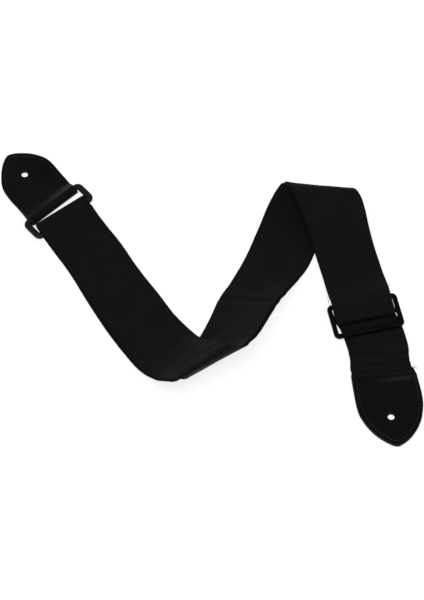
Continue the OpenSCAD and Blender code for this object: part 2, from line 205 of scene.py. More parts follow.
# ------------------------------------------------------------------ material tools
class Nodes:
    def __init__(self, name):
        self.mat = bpy.data.materials.new(name)
        self.mat.use_nodes = True
        self.nt = self.mat.node_tree
        self.bsdf = self.nt.nodes["Principled BSDF"]

    def node(self, kind, **props):
        n = self.nt.nodes.new(kind)
        for k, v in props.items():
            setattr(n, k, v)
        return n

    def put(self, socket, value):
        if hasattr(value, "is_linked"):
            self.nt.links.new(value, socket)
        else:
            socket.default_value = value

    def m(self, op, a, b=0.0, c=0.0):
        n = self.node("ShaderNodeMath", operation=op)
        for i, v in enumerate((a, b, c)):
            self.put(n.inputs[i], v)
        return n.outputs[0]

    def attribute(self, name):
        n = self.node("ShaderNodeAttribute", attribute_type="GEOMETRY", attribute_name=name)
        return n

    def split(self, vector):
        n = self.node("ShaderNodeSeparateXYZ")
        self.put(n.inputs[0], vector)
        return n.outputs[0], n.outputs[1], n.outputs[2]

    def join(self, x, y, z):
        n = self.node("ShaderNodeCombineXYZ")
        for i, v in enumerate((x, y, z)):
            self.put(n.inputs[i], v)
        return n.outputs[0]

    def noise(self, vector, scale, detail=3.0, rough=0.5):
        n = self.node("ShaderNodeTexNoise")
        self.put(n.inputs["Vector"], vector)
        n.inputs["Scale"].default_value = scale
        n.inputs["Detail"].default_value = detail
        n.inputs["Roughness"].default_value = rough
        return n.outputs["Fac"] if "Fac" in n.outputs else n.outputs[0]

    def voronoi(self, vector, scale, feature="F1"):
        n = self.node("ShaderNodeTexVoronoi", feature=feature)
        self.put(n.inputs["Vector"], vector)
        n.inputs["Scale"].default_value = scale
        return n.outputs["Distance"]

    def remap(self, value, a, b, c, d):
        n = self.node("ShaderNodeMapRange")
        self.put(n.inputs[0], value)
        for i, v in enumerate((a, b, c, d)):
            n.inputs[i + 1].default_value = v
        n.clamp = True
        return n.outputs[0]

    def ramp(self, value, stops):
        n = self.node("ShaderNodeValToRGB")
        self.put(n.inputs[0], value)
        e = n.color_ramp.elements
        while len(e) < len(stops):
            e.new(0.5)
        for i, (p, c) in enumerate(stops):
            e[i].position = p
            e[i].color = (*c, 1)
        return n.outputs[0]

    def bump(self, height, distance, strength=1.0, normal=None):
        n = self.node("ShaderNodeBump")
        n.inputs["Strength"].default_value = strength
        n.inputs["Distance"].default_value = distance
        self.put(n.inputs["Height"], height)
        if normal is not None:
            self.put(n.inputs["Normal"], normal)
        return n.outputs[0]

    def object_coords(self):
        return self.node("ShaderNodeTexCoord").outputs["Object"]

    def set(self, **inputs):
        for k, v in inputs.items():
            self.put(self.bsdf.inputs[k.replace("_", " ")], v)


def webbing_material():
    n = Nodes("webbing_twill")
    strip = n.attribute("strip").outputs["Vector"]
    s, y, side = n.split(strip)
    # warp ribs along the strip, crossed by the twill's diagonal
    ribs = n.m("ABSOLUTE", n.m("SINE", n.m("MULTIPLY", y, math.pi / 1.1)))
    shift = n.m("MULTIPLY", n.m("FLOOR", n.m("DIVIDE", y, 1.1)), 0.55)
    picks = n.m("SINE", n.m("MULTIPLY", n.m("ADD", s, shift), 2 * math.pi / 2.2))
    fibre = n.noise(n.join(n.m("MULTIPLY", s, 0.35), n.m("MULTIPLY", y, 2.6), side), 1.6, 2.0, 0.6)
    height = n.m("ADD", n.m("ADD", n.m("MULTIPLY", ribs, 0.4), n.m("MULTIPLY", picks, 0.3)), n.m("MULTIPLY", fibre, 0.5))
    streaks = n.noise(n.join(n.m("MULTIPLY", s, 0.012), n.m("MULTIPLY", y, 0.55), side), 1.0, 4.0, 0.65)
    patches = n.noise(n.join(n.m("MULTIPLY", s, 0.05), n.m("MULTIPLY", y, 0.06), side), 1.0, 3.0, 0.55)
    lint = n.noise(n.join(s, n.m("MULTIPLY", y, 1.0), side), 1.35, 1.0, 0.5)
    mottle = n.noise(n.join(n.m("MULTIPLY", s, 0.55), n.m("MULTIPLY", y, 0.55), side), 1.0, 4.0, 0.7)
    tone = n.m("ADD", n.m("ADD", n.m("MULTIPLY", streaks, 0.24), n.m("MULTIPLY", patches, 0.26)), n.m("MULTIPLY", picks, 0.06))
    tone = n.m("ADD", n.m("ADD", tone, n.m("MULTIPLY", ribs, 0.1)), n.m("MULTIPLY", mottle, 0.34))
    colour = n.ramp(tone, [(0.25, (0.0058, 0.0057, 0.0055)), (0.5, (0.0103, 0.0102, 0.0097)), (0.8, (0.0195, 0.0192, 0.0184))])
    mix = n.node("ShaderNodeMix", data_type="RGBA")
    n.put(mix.inputs["Factor"], n.remap(lint, 0.72, 0.8, 0.0, 0.5))
    n.put(mix.inputs[6], colour)
    mix.inputs[7].default_value = (0.03, 0.03, 0.031, 1)
    n.set(Base_Color=mix.outputs[2], Roughness=n.remap(n.m("ADD", streaks, n.m("MULTIPLY", ribs, 0.2)), 0.3, 0.9, 0.86, 0.66),
          Normal=n.bump(height, 0.00018, 0.85))
    n.bsdf.inputs["Specular IOR Level"].default_value = 0.12
    n.bsdf.inputs["Sheen Weight"].default_value = 0.035
    n.bsdf.inputs["Sheen Roughness"].default_value = 0.45
    return n.mat


def leather_material():
    n = Nodes("leather_black")
    p = n.object_coords()
    cells = n.voronoi(p, 850.0)
    pores = n.voronoi(p, 2300.0)
    broad = n.noise(p, 55.0, 4.0, 0.6)
    fine = n.noise(p, 1500.0, 3.0, 0.6)
    height = n.m("ADD", n.m("ADD", n.m("MULTIPLY", cells, 0.8), n.m("MULTIPLY", pores, 0.25)), n.m("MULTIPLY", fine, 0.3))
    edge = n.attribute("edge").outputs["Fac"]
    face = n.m("ADD", n.m("MULTIPLY", broad, 0.75), n.m("MULTIPLY", cells, 0.3))
    colour = n.ramp(face, [(0.2, (0.0016, 0.0016, 0.0016)), (0.5, (0.0032, 0.0031, 0.003)), (0.85, (0.006, 0.0058, 0.0056))])
    mix = n.node("ShaderNodeMix", data_type="RGBA")
    n.put(mix.inputs["Factor"], n.m("MULTIPLY", n.remap(edge, 0.15, 0.75, 1.0, 0.0), n.remap(broad, 0.3, 0.7, 0.35, 0.9)))
    n.put(mix.inputs[6], colour)
    mix.inputs[7].default_value = (0.016, 0.0145, 0.0135, 1)
    # the ring tab is duller towards its lower left edge
    x, y, z = n.split(p)
    side = n.m("ADD", n.m("MULTIPLY", n.m("ADD", x, 0.12), -0.743), n.m("MULTIPLY", n.m("ADD", y, -0.0744), -0.669))
    dull = n.remap(side, -0.014, 0.018, 0.0, 0.3)
    n.set(Base_Color=mix.outputs[2], Roughness=n.m("ADD", n.remap(face, 0.2, 0.9, 0.44, 0.3), dull),
          Normal=n.bump(height, 0.00022, 0.6))
    n.bsdf.inputs["Specular IOR Level"].default_value = 0.17
    return n.mat


def plastic_material(name, dark, light, rough_low, rough_high, specular, scale):
    n = Nodes(name)
    p = n.object_coords()
    broad = n.noise(p, 40.0, 3.0, 0.55)
    fine = n.noise(p, scale, 3.0, 0.65)
    scuff = n.noise(p, 260.0, 5.0, 0.75)
    colour = n.ramp(broad, [(0.25, dark), (0.75, light)])
    n.set(Base_Color=colour, Roughness=n.remap(n.m("ADD", n.m("MULTIPLY", scuff, 0.7), n.m("MULTIPLY", broad, 0.3)), 0.3, 0.7, rough_low, rough_high),
          Normal=n.bump(n.m("ADD", fine, n.m("MULTIPLY", scuff, 0.6)), 0.00006, 0.6))
    n.bsdf.inputs["Specular IOR Level"].default_value = specular
    return n.mat


def thread_material(name="thread_painted_glint", b=1.0):
    n = Nodes(name)
    strip = n.attribute("strip").outputs["Vector"]
    s, a, k = n.split(strip)
    lay = n.m("SINE", n.m("ADD", n.m("MULTIPLY", s, 9.0), n.m("MULTIPLY", a, 2.0)))
    fuzz = n.noise(n.object_coords(), 2600.0, 2.0, 0.6)
    # colour scaled by b: with b above 1 the black thread's own dark grey is lifted as a painted highlight standing for
    # its glints
    colour = n.ramp(n.m("ADD", n.m("MULTIPLY", lay, 0.25), fuzz), [(0.2, (0.008 * b, 0.008 * b, 0.0083 * b)), (0.55, (0.018 * b, 0.018 * b, 0.0186 * b)), (0.95, (0.036 * b, 0.036 * b, 0.036 * b))])
    n.set(Base_Color=colour, Roughness=n.remap(fuzz, 0.3, 0.7, 0.45, 0.7), Normal=n.bump(n.m("ADD", n.m("MULTIPLY", lay, 0.5), fuzz), 0.00008, 0.6))
    n.bsdf.inputs["Specular IOR Level"].default_value = 0.4
    return n.mat


def floor_material():
    n = Nodes("floor_white")
    p = n.object_coords()
    tone = n.noise(p, 3.0, 2.0, 0.5)
    n.set(Base_Color=n.ramp(tone, [(0.3, (0.6, 0.6, 0.6)), (0.7, (0.64, 0.64, 0.64))]), Roughness=n.remap(tone, 0.2, 0.8, 0.75, 0.85))
    n.bsdf.inputs["Emission Color"].default_value = (1, 1, 1, 1)
    n.bsdf.inputs["Emission Strength"].default_value = 0.77
    n.bsdf.inputs["Specular IOR Level"].default_value = 0.1
    return n.mat


WEBBING = webbing_material()
LEATHER = leather_material()
RING_PLASTIC = plastic_material("ring_plastic_satin", (0.0115, 0.0115, 0.0152), (0.0175, 0.0175, 0.0225), 0.4, 0.55, 0.25, 1800.0)
SLIDER_PLASTIC = plastic_material("slider_plastic_matt", (0.0016, 0.0016, 0.0018), (0.003, 0.003, 0.0032), 0.42, 0.6, 0.12, 2600.0)
# edge thread: black thread whose colour is lifted 1.4 times as a painted highlight for its glints; the cross and seam
# thread keeps the darker own colour
THREAD_MAT_PAINTED_GLINT = thread_material("thread_painted_glint", 1.4)
THREAD_DARK = thread_material("thread_black", 0.28)

floor = bpy.data.objects.new("floor", bpy.data.meshes.new("floor"))
floor.data.from_pydata([(-6, -6, 0), (6, -6, 0), (6, 6, 0), (-6, 6, 0)], [], [(0, 1, 2, 3)])
floor.data.materials.append(floor_material())
bpy.context.scene.collection.objects.link(floor)
floor.location = (0, 0, -0.0002)


# ------------------------------------------------------------------ the webbing, one strip from the end tab to its cut tail
def half_gap(u):
    f = max(0.0, 1 - u / 1.5)
    return PAIR_H + (BAR_H - PAIR_H) * f * f * (3 - 2 * f)


def lay_station(u, side):
    a, b = at(LAY[:, 0], u), at(LAY[:, 1], u)
    d = 0.01
    along = unit(at(LAY[:, 0], u + d) + at(LAY[:, 1], u + d) - at(LAY[:, 0], u - d) - at(LAY[:, 1], u - d))
    w = unit(b - a)
    n = unit(np.cross(along, w))
    c = (a + b) / 2 + n * side * half_gap(u) + w * side * at(SWAY, u)
    return c, w, n, np.linalg.norm(b - a) / 2, along


raw = []  # centre, across, outer normal, half width, lay position u or -1, side, pair normal, fineness


def lean(x):
    """How far both layers lie to the side over the adjuster's top bar."""
    return -0.5 * math.exp(-((x + 11) / 9) ** 2)


def add(c, w, n, half=25.0, u=-1.0, side=0.0, pn=(0, 0, 0), fine=0.0):
    raw.append(np.concatenate([c, w, n, [half, u, side], pn, [fine]]))


SX = np.array([math.cos(SLIDER_AZ), math.sin(SLIDER_AZ), 0])
SY = np.array([-math.sin(SLIDER_AZ), math.cos(SLIDER_AZ), 0])
EY = np.array([-math.sin(END_AZ), math.cos(END_AZ), 0])
Z = np.array([0, 0, 1.0])
for x in np.arange(12, -1.9, -0.5):
    add(in_end([x, 0, 2.2]), EY, -Z)
MARK_TONGUE = len(raw)
p = smooth(M_PATH, 10)[::-1]
p = p[p[:, 0] <= 45.5]
flat = p[:, [0, 2]]
t = tangents(flat)
for q, d in zip(p, t):
    add(in_slider(q + np.array([0, lean(q[0]), 0])), SY, Z, fine=1.0 if -13 < q[0] < 6 or q[0] > 26 else 0.0)
# the normal of the lower layer: a quarter turn from its direction, on its lower side
for i in range(MARK_TONGUE, len(raw)):
    d = t[i - MARK_TONGUE]
    n = np.array([-d[1], d[0]])
    n = n if n[1] < 0 else -n
    raw[i][6:9] = SX * n[0] + Z * n[1]
for u in np.arange(31, -0.001, -0.02):
    c, w, n, half, _ = lay_station(max(u, 0), -1)
    add(c, w, -n, half, max(u, 0), -1, n)
s0, m0 = lay_station(0, 1), lay_station(0, -1)
c0, t0, n0 = (s0[0] + m0[0]) / 2, s0[4], s0[2]
for a in np.radians(np.arange(-90, 90.1, 4)):
    ends = [c0 - t0 * (e + BAR_H * math.cos(a)) + n0 * BAR_H * math.sin(a) + s0[1] * s0[3] * k for e, k in ((5.4, -1), (2.2, 1))]
    add((ends[0] + ends[1]) / 2, unit(ends[1] - ends[0]), unit(-t0 * math.cos(a) + n0 * math.sin(a)),
        np.linalg.norm(ends[1] - ends[0]) / 2, fine=1.0)
for u in np.arange(0, 31.001, 0.02):
    c, w, n, half, _ = lay_station(u, 1)
    add(c, w, n, half, u, 1, n)
arc = [[2.5 * math.cos(a), SLIDER_Z + 2.5 * math.sin(a)] for a in np.radians(np.arange(84, -89, -6))]
p = np.concatenate([smooth(SLACK, 6)[2:], smooth(LOOP_HIGH, 8)[::-1], arc, smooth(LOOP_LOW, 8)[::-1]])
for q, d in zip(p, tangents(p)):
    add(in_slider([q[0], lean(q[0]), q[1]]), SY, SX * -d[1] + Z * d[0], fine=1.0 if q[0] > -13 else 0.4)
raw = np.array(raw)
keep = np.concatenate([[True], np.linalg.norm(np.diff(raw[:, :3], axis=0), axis=1) > 0.02])
raw = raw[keep]
S = lengths(raw[:, :3])
pos, marks = 0.0, []
while pos < S[-1]:
    marks.append(pos)
    k = min(np.searchsorted(S, pos), len(S) - 1)
    pos += 0.55 if raw[k, 15] > 0.5 else 0.9 if raw[k, 15] > 0.2 else 1.3
marks.append(S[-1])
marks = np.array(marks)
ST = np.stack([np.interp(marks, S, raw[:, j]) for j in range(raw.shape[1])], 1)
nearest = np.clip(np.searchsorted(S, marks), 0, len(S) - 1)
ST[:, 10:12] = raw[nearest][:, 10:12]  # u and side aren't blended
for _ in range(2):  # soften the short changes of direction where the paths meet
    for j in range(0, 9):
        v = ST[:, j].copy()
        v[1:-1] = 0.25 * ST[:-2, j] + 0.5 * ST[1:-1, j] + 0.25 * ST[2:, j]
        if j >= 3:
            ST[:, j] = v
for j in (3, 6, 12):
    size = np.linalg.norm(ST[:, j:j + 3], axis=1)
    ST[:, j:j + 3] /= np.where(size > 1e-6, size, 1)[:, None]

# arc length of the pair against u, for the creases
US = np.arange(0, 32.001, 0.05)
PAIR = np.array([(at(LAY[:, 0], u) + at(LAY[:, 1], u)) / 2 for u in US])
SU = lengths(PAIR)


def to_s(u):
    return np.interp(u, US, SU)


# creases and wrinkles: points (u, v) with v from -1 at one edge to 1 at the other, height and width in mm
RUN_CREASES = [
    ([(30.4, -26), (30.6, -20), (36.6, 2.7), (41.1, 27.5)], -1.25, 0.75),
    ([(43.0, -26), (43.2, -20), (45.4, 0.4), (47.5, 28)], -1.2, 0.7),
    ([(36.4, -26), (36.8, -20), (41.0, 1.5), (44.4, 27.5)], 0.75, 2.7),
    ([(26.5, -24), (31.5, 0), (36.5, 26)], 0.6, 3.2),
    ([(20.5, -22), (22.0, 0), (24.5, 27)], -0.25, 2.5),
    ([(47.5, -24), (49.5, 0), (51.0, 24)], 0.35, 1.6),
]
CREASES = [
    ([(0.32, .98), (0.55, .5), (0.8, .0), (1.0, -.25)], -0.95, 1.6),
    ([(0.7, .95), (0.95, .45), (1.15, .1)], 0.25, 2.6),
    ([(5.6, .75), (6.1, .1), (6.0, -.3), (6.0, -.8)], 0.55, 3.4),
    ([(5.25, .7), (5.75, .1), (5.7, -.5)], -0.3, 3.0),
    ([(7.4, -.95), (8.2, -.1), (8.9, .8)], -0.5, 3.0),
    ([(9.4, -.95), (10.2, -.3), (10.6, 0.1), (11.3, 1)], 0.2, 3.0),
    ([(18.3, -1), (18.0, -.4), (17.7, .2), (17.5, .6), (17.3, 1)], -0.35, 1.8),
    ([(18.0, -1), (17.7, -.4), (17.4, .2), (17.2, .6), (17.0, 1)], 0.55, 2.4),
    ([(14.3, -.9), (15.2, -.5), (16.0, -.2)], 0.5, 6.0),
    ([(12.6, .95), (13.4, .4), (13.9, .1)], 0.35, 4.0),
    ([(20.3, .9), (20.9, .2), (21.2, -.3)], -0.3, 4.0),
    ([(24.2, -.9), (24.5, 0), (24.4, .9)], 0.3, 3.5),
    ([(26.7, -.86), (28.5, -.84), (30.8, -.8)], 0.28, 2.2),
    ([(26.9, .3), (28.6, .34), (30.3, .3)], 0.16, 2.6),
    ([(27.2, .62), (28.9, .66), (30.6, .7)], 0.2, 1.9),
    ([(28.2, -.25), (29.5, -.2), (30.9, -.22)], 0.16, 2.4),
    ([(2.2, -.6), (3.4, -.45), (4.8, -.5)], 0.18, 3.4),
    ([(1.9, .35), (3.0, .5), (4.3, .55)], 0.16, 3.0),
]


def run_relief(x, y):
    """The same for the single layer between the adjuster and the end tab, in the adjuster's frame."""
    out = np.zeros(x.shape)
    for line, height, width in RUN_CREASES:
        q = np.array(line, float)
        best = np.full(x.shape, 1e9)
        for a, b in zip(q[:-1], q[1:]):
            d = b - a
            k = np.clip(((x - a[0]) * d[0] + (y - a[1]) * d[1]) / (d @ d), 0, 1)
            best = np.minimum(best, np.hypot(x - a[0] - k * d[0], y - a[1] - k * d[1]))
        out += height * np.exp(-(best / width) ** 2)
    return out * step((x - 17) / 4) * (1 - step((x - 50.5) / 2.5))


def relief(s, y):
    """How far the pair of layers rises, in mm, at arc length s of the pair and y across."""
    out = 0.13 * np.sin(2 * math.pi * (s / 31 + y / 83 + 0.3)) + 0.10 * np.sin(2 * math.pi * (s / 19.7 - y / 47 + 0.71))
    out += 0.07 * np.sin(2 * math.pi * (s / 11.3 + y / 29 + 0.13)) + 0.05 * np.sin(2 * math.pi * (s / 7.1 - y / 19 + 0.4))
    for line, height, width in CREASES:
        q = np.array([(to_s(u), v * 25) for u, v in line])
        best = np.full(s.shape, 1e9)
        for a, b in zip(q[:-1], q[1:]):
            d = b - a
            k = np.clip(((s - a[0]) * d[0] + (y - a[1]) * d[1]) / (d @ d), 0, 1)
            best = np.minimum(best, np.hypot(s - a[0] - k * d[0], y - a[1] - k * d[1]))
        out += height * np.exp(-(best / width) ** 2)
    return out


EDGES = [0.07, 0.2, 0.4, 0.75, 1.3, 1.9, 2.25, 2.5, 2.8, 3.3]
CORE = np.linspace(4.4, 45.6, 32)
ACROSS = np.concatenate([EDGES, CORE, 50 - np.array(EDGES[::-1])])  # distance from edge A


def half_thickness(d):
    e = np.minimum(d, 50 - d)
    r = 0.55
    h = WEB_T / 2 * np.sqrt(np.clip(1 - (1 - np.minimum(e, r) / r) ** 2, 0, 1))
    h = h - 0.10 * np.exp(-((e - 2.25) / 0.32) ** 2)          # the line where the selvedge begins
    return h + 0.02 * np.sin(d * 2 * math.pi / 5.5)


def strip_piece(name, lo, hi):
    """The part of the strip from mark lo to mark hi, a closed sheet."""
    rows = []
    part = ST[lo:hi + 1]
    offs = np.concatenate([[0.0], ACROSS, [50.0], ACROSS[::-1]])
    face = np.concatenate([[0.0], np.ones(len(ACROSS)), [0.0], -np.ones(len(ACROSS))])
    h = np.where(face == 0, 0, half_thickness(offs)) * face
    verts, strip = [], []
    for i, st in enumerate(part):
        c, w, n, half, u, side, pn = st[0:3], st[3:6], st[6:9], st[9], st[10], st[11], st[12:15]
        y = (offs - 25) * (half / 25)
        v = c + np.outer(y, w) + np.outer(h, n)
        if u >= 0:
            lift = relief(np.full(y.shape, to_s(u)), offs - 25)
            fade = step(u / 1.2) * step((31 - u) / 1.2)
            low = (c + np.outer(y, w))[:, 2]
            floor_at = np.where(side * pn[2] > 0, 1.95, 0.65)     # the layer beneath, or the floor
            lift = np.maximum(lift * fade, np.minimum(0, floor_at - low + 0.1))
            v = v + np.outer(lift, pn)
            if side > 0:                                      # the crease where the upper layer leaves the ring
                off = to_s(u) - to_s(0.46 - 0.16 * (offs - 25) / 25)
                v = v - np.outer(1.5 * np.exp(-(off / 1.1) ** 2) - 0.45 * np.exp(-((off - 3.4) / 1.8) ** 2), pn)
        elif marks[lo + i] < S[-1] * 0.2:
            x = (v[:, 0] - SLIDER_AT[0]) * SX[0] + (v[:, 1] - SLIDER_AT[1]) * SX[1]
            across = (v[:, 0] - SLIDER_AT[0]) * SY[0] + (v[:, 1] - SLIDER_AT[1]) * SY[1]
            v[:, 2] += run_relief(x, across)
        v[:, 2] = np.maximum(v[:, 2], 0.02)
        verts.append(v)
        s = marks[lo + i]
        strip.append(np.stack([np.full(len(offs), s), offs, face * 3.0], 1))
    m, k = len(part), len(offs)
    idx = np.arange(m * k).reshape(m, k)
    faces = []
    for j in range(k):
        a, b = idx[:-1, j], idx[:-1, (j + 1) % k]
        c_, d_ = idx[1:, (j + 1) % k], idx[1:, j]
        faces.append(np.stack([a, b, c_, d_], 1))
    faces = np.concatenate(faces).tolist()
    # ends closed with quads between the two faces
    na = len(ACROSS)
    outer = [0] + list(range(1, na + 1)) + [na + 1]
    inner = [0] + list(range(k - 1, na + 1, -1)) + [na + 1]
    for r, flip in ((0, False), (m - 1, True)):
        for j in range(na + 1):
            quad = [idx[r, outer[j]], idx[r, outer[j + 1]], idx[r, inner[j + 1]], idx[r, inner[j]]]
            quad = [q for i, q in enumerate(quad) if q not in quad[:i]]
            faces.append(quad if flip else quad[::-1])
    verts = np.concatenate(verts)
    sharp = np.zeros(len(verts), bool)
    sharp[idx[0]] = True
    sharp[idx[-1]] = True
    return new_object(name, verts, faces, [WEBBING], {"strip": np.concatenate(strip)}, sharp)


def mark_of(u=None, side=None, x=None, low=True):
    """The nearest mark to a lay position, or to a height x in the slider's frame on the lower layer."""
    if u is not None:
        d = np.where((ST[:, 11] == side) & (ST[:, 10] >= 0), abs(ST[:, 10] - u), 1e9)
    else:
        xs = (ST[:, 0] - SLIDER_AT[0]) * SX[0] + (ST[:, 1] - SLIDER_AT[1]) * SX[1]
        d = np.where(marks < 120, abs(xs - x), 1e9)
    return int(np.argmin(d))


M_FLEX, M_BAR = mark_of(x=42.5), mark_of(x=0.0)
M27, R27 = mark_of(u=27, side=-1), mark_of(u=27, side=1)
END = len(ST) - 1
tongue = strip_piece("webbing_tongue", 0, M_FLEX)
out_run = strip_piece("webbing_out_run", M_FLEX, M_BAR)
under_run = strip_piece("webbing_under_run", M_BAR, M27)
main = strip_piece("webbing_main", M27, R27)
top_run = strip_piece("webbing_top_run", R27, END)
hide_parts("webbing_lower_left", "webbing_lower_bend", "webbing_lower_middle", "webbing_lower_top_fold", "webbing_upper_left",
            "webbing_upper_bend", "webbing_upper_middle", "webbing_upper_top_fold", "webbing_ring_loop")
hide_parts("webbing_upper_right", "webbing_upper_end", "webbing_slider_loop")
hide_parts("webbing_lower_right", "webbing_threaded")
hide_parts("webbing_threaded")
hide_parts("webbing_end_tongue")
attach(main, "strap")
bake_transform(top_run)
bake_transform(under_run)
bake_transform(out_run)
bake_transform(tongue)


# ------------------------------------------------------------------ ring and slide adjuster
def swept_ring(name, path, half_w, half_h, power, material, place, sides=28, seam=0.0):
    """A closed bar along a closed flat path, section a rounded box, with a fine parting line on its outside."""
    n = len(path)
    d = np.roll(path, -1, 0) - np.roll(path, 1, 0)
    d /= np.linalg.norm(d, axis=1)[:, None]
    out = np.stack([d[:, 1], -d[:, 0]], 1)
    a = np.arange(sides) * 2 * math.pi / sides
    ca, sa = np.cos(a), np.sin(a)
    rx, rz = np.sign(ca) * abs(ca) ** power, np.sign(sa) * abs(sa) ** power
    bump = 1 + seam * np.exp(-(((a + math.pi) % (2 * math.pi) - math.pi) / 0.10) ** 2) + seam * np.exp(-((a - math.pi) / 0.10) ** 2)
    verts = []
    for q, o, hw in zip(path, out, half_w):
        x = q[None] + np.outer(rx * bump * hw, o)
        verts.append(place(np.column_stack([x, rz * half_h])))
    verts = np.concatenate(verts)
    idx = np.arange(n * sides).reshape(n, sides)
    nx = np.roll(idx, -1, 0)
    faces = np.stack([idx, nx, np.roll(nx, -1, 1), np.roll(idx, -1, 1)], -1).reshape(-1, 4)
    return verts, faces.tolist()


def rounded_path(hx, hy, r, spacing=0.9, arc_steps=10):
    """Anticlockwise, centred; side points then quarter arcs."""
    pts = []
    corners = [(hx - r, hy - r, 0), (-hx + r, hy - r, 90), (-hx + r, -hy + r, 180), (hx - r, -hy + r, 270)]
    for i, (cx, cy, a0) in enumerate(corners):
        for k in range(arc_steps + 1):
            a = math.radians(a0 + 90 * k / arc_steps)
            pts.append([cx + r * math.cos(a), cy + r * math.sin(a)])
        nxt = corners[(i + 1) % 4]
        a = math.radians(a0 + 90)
        p0 = np.array(pts[-1])
        p1 = np.array([nxt[0] + r * math.cos(a), nxt[1] + r * math.sin(a)])
        m = max(2, int(np.linalg.norm(p1 - p0) / spacing / 2))
        for k in range(1, m):
            pts.append((p0 + (p1 - p0) * k / m).tolist())
    return np.array(pts)


y_half = (RING_LEN - RING_BAR) / 2
path = rounded_path(RING_PITCH / 2, y_half, 3.5)
wide = 0.4 * step((abs(path[:, 1]) - (y_half - 3.5)) / 3.0)
path[:, 1] -= np.sign(path[:, 1]) * wide
v, f = swept_ring("ring", path, RING_BAR / 2 + wide, RING_BAR / 2, 0.8, RING_PLASTIC,
                  lambda q: in_ring(q + np.array([RING_PITCH / 2, 0, RING_AT[2]])), 36, 0.012)
ring = new_object("ring_moulded", v, f, [RING_PLASTIC])
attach(ring, "ring")
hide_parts("ring")

path = rounded_path(SLIDER_L / 2 - 2, SLIDER_W / 2 - 2.15, 2.6, 0.9, 12)
v, f = swept_ring("slider", path, np.full(len(path), 2.03), SLIDER_T / 2, 0.55, SLIDER_PLASTIC,
                  lambda q: in_slider(q + np.array([0, 0, SLIDER_Z])), 36, 0.006)
# the centre bar, thicker where it meets the side bars
ys = np.concatenate([np.linspace(-27.6, -24.9, 14), np.linspace(-24.3, 24.3, 44), np.linspace(24.9, 27.6, 14)])
rs = SLIDER_BAR / 2 + 1.7 * step((abs(ys) - 25.1) / 0.8)
rz = np.full(len(ys), SLIDER_BAR / 2)
rs[[0, -1]] *= 0.6
rz[[0, -1]] *= 0.6
k = 28
ang = np.arange(k) * 2 * math.pi / k
bar = np.concatenate([in_slider(np.column_stack([r * np.cos(ang), np.full(k, y), SLIDER_Z + h * np.sin(ang)])) for y, r, h in zip(ys, rs, rz)])
base = len(v)
idx = np.arange(len(bar)).reshape(-1, k) + base
for i in range(len(ys) - 1):
    for j in range(k):
        f.append([idx[i, j], idx[i + 1, j], idx[i + 1, (j + 1) % k], idx[i, (j + 1) % k]])
f.append(idx[0].tolist())
f.append(idx[-1][::-1].tolist())
slider = new_object("slide_adjuster_moulded", np.concatenate([v, bar]), f, [SLIDER_PLASTIC])
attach(slider, "slider")
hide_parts("slide_adjuster")


# ------------------------------------------------------------------ leather
def resample(p, gap):
    s = lengths(p)
    n = max(2, int(round(s[-1] / gap)))
    q = np.linspace(0, s[-1], n + 1)
    return np.stack([np.interp(q, s, p[:, 0]), np.interp(q, s, p[:, 1])], 1)


def inside(poly, q):
    x, y = q[:, 0][:, None], q[:, 1][:, None]
    a, b = poly[None], np.roll(poly, -1, 0)[None]
    cross = (a[..., 1] > y) != (b[..., 1] > y)
    with np.errstate(divide="ignore", invalid="ignore"):
        at_x = (b[..., 0] - a[..., 0]) * (y - a[..., 1]) / (b[..., 1] - a[..., 1]) + a[..., 0]
    return (cross & (x < at_x)).sum(1) % 2 == 1


def edge_distance(polys, q):
    best = np.full(len(q), 1e9)
    for poly in polys:
        a, b = poly, np.roll(poly, -1, 0)
        d = b - a
        for i in range(len(a)):
            k = np.clip(((q - a[i]) @ d[i]) / max(d[i] @ d[i], 1e-9), 0, 1)
            best = np.minimum(best, np.hypot(*(q - a[i] - k[:, None] * d[i]).T))
    return best


def button_hole(cx, cy, sign, n=30):
    """Round hole with a slit towards sign, as one outline."""
    r, w = HOLE_D / 2, SLIT_W / 2
    a0 = math.asin(w / r)
    a = np.linspace(a0, 2 * math.pi - a0, n)
    circle = np.stack([r * np.cos(a), r * np.sin(a)], 1)
    end = r + SLIT_L
    slit = [[x, -w] for x in np.linspace(r + 0.9, end - 0.3, 5)] + [[end, -w * 0.6], [end + 0.15, 0], [end, w * 0.6]] + \
        [[x, w] for x in np.linspace(end - 0.3, r + 0.9, 5)]
    p = np.concatenate([circle, slit])
    p[:, 0] *= sign
    return p + [cx, cy]


